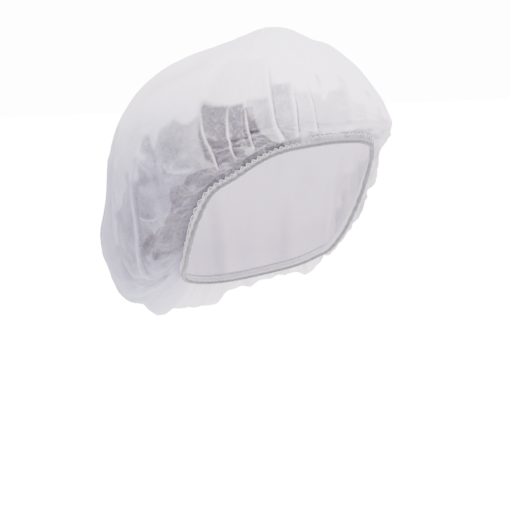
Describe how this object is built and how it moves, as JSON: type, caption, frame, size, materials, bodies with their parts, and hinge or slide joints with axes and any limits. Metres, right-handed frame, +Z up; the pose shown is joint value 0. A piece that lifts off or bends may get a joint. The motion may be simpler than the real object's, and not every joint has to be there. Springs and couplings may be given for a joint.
{
  "type": "disposable hair cover cap",
  "caption": "Disposable gathered bouffant hair cover of thin nonwoven cloth with an elastic hem, puffed out as worn.",
  "frame": {"origin": "middle of the head opening, halfway between the forehead edge and the nape edge of the hem", "axes": "+Z is up as worn by a level wearer whose chin is raised about 13 degrees, the wearer faces -Y and the wearer's right side is -X"},
  "size_m": [0.2113, 0.2317, 0.2431],
  "materials": {
    "crown_cloth": "matte white spunbond nonwoven, slightly translucent",
    "hem_cloth": "matte white nonwoven, folded double and finely gathered",
    "elastic": "flat white covered elastic"
  },
  "bodies": {
    "root": {"crown": "crown_cloth", "hem_casing": "hem_cloth", "elastic_band": "elastic"}
  },
  "joints": []
}
